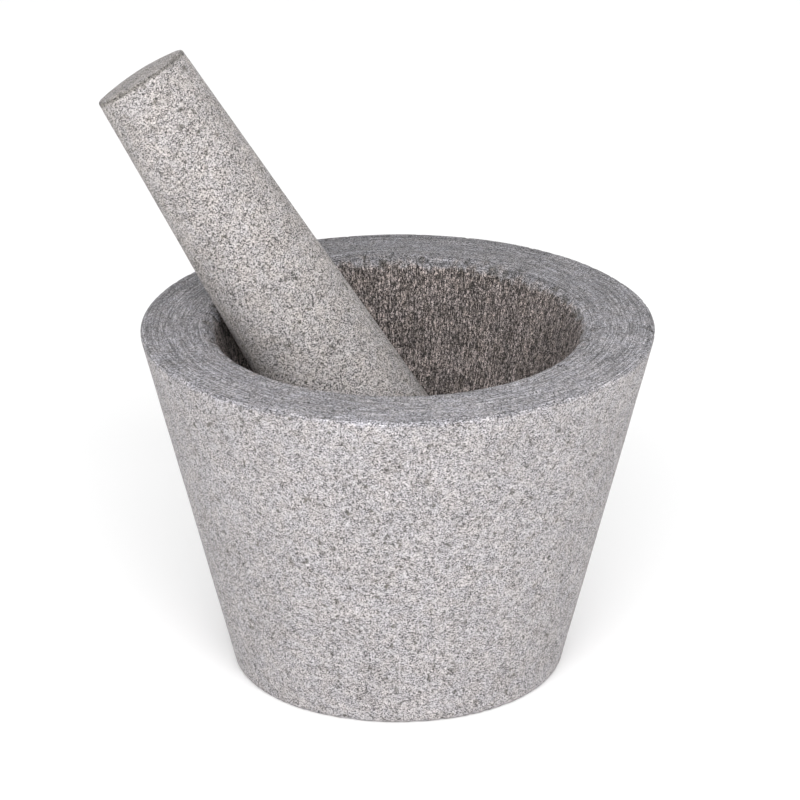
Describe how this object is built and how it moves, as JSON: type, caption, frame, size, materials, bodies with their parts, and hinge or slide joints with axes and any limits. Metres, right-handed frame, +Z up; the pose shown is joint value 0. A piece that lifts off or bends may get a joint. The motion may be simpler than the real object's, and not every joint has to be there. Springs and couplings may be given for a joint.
{
  "type": "stone mortar and pestle",
  "caption": "Granite mortar turned as a truncated cone with a wide flat rim and a round-bottomed bowl, with a loose tapered pestle that leans on the rim and lifts out.",
  "frame": {"origin": "centre of the mortar's flat base, on the surface that it stands on", "axes": "+Z up along the mortar's turning axis; the front is -Y; the pestle leans towards -X and a little towards +Y"},
  "size_m": [0.1832, 0.1698, 0.2066],
  "materials": {
    "mortar_granite": "sawn and ground, matt, speckled",
    "pestle_granite": "ground, matt, speckled"
  },
  "bodies": {
    "mortar": {"mortar": "mortar_granite"},
    "pestle": {"pestle": "pestle_granite"}
  },
  "joints": [
    {"name": "pestle_lift", "type": "slide", "parent": "mortar", "child": "pestle", "axis": [0, 0, 1], "range_m": [0, 0.1]}
  ]
}
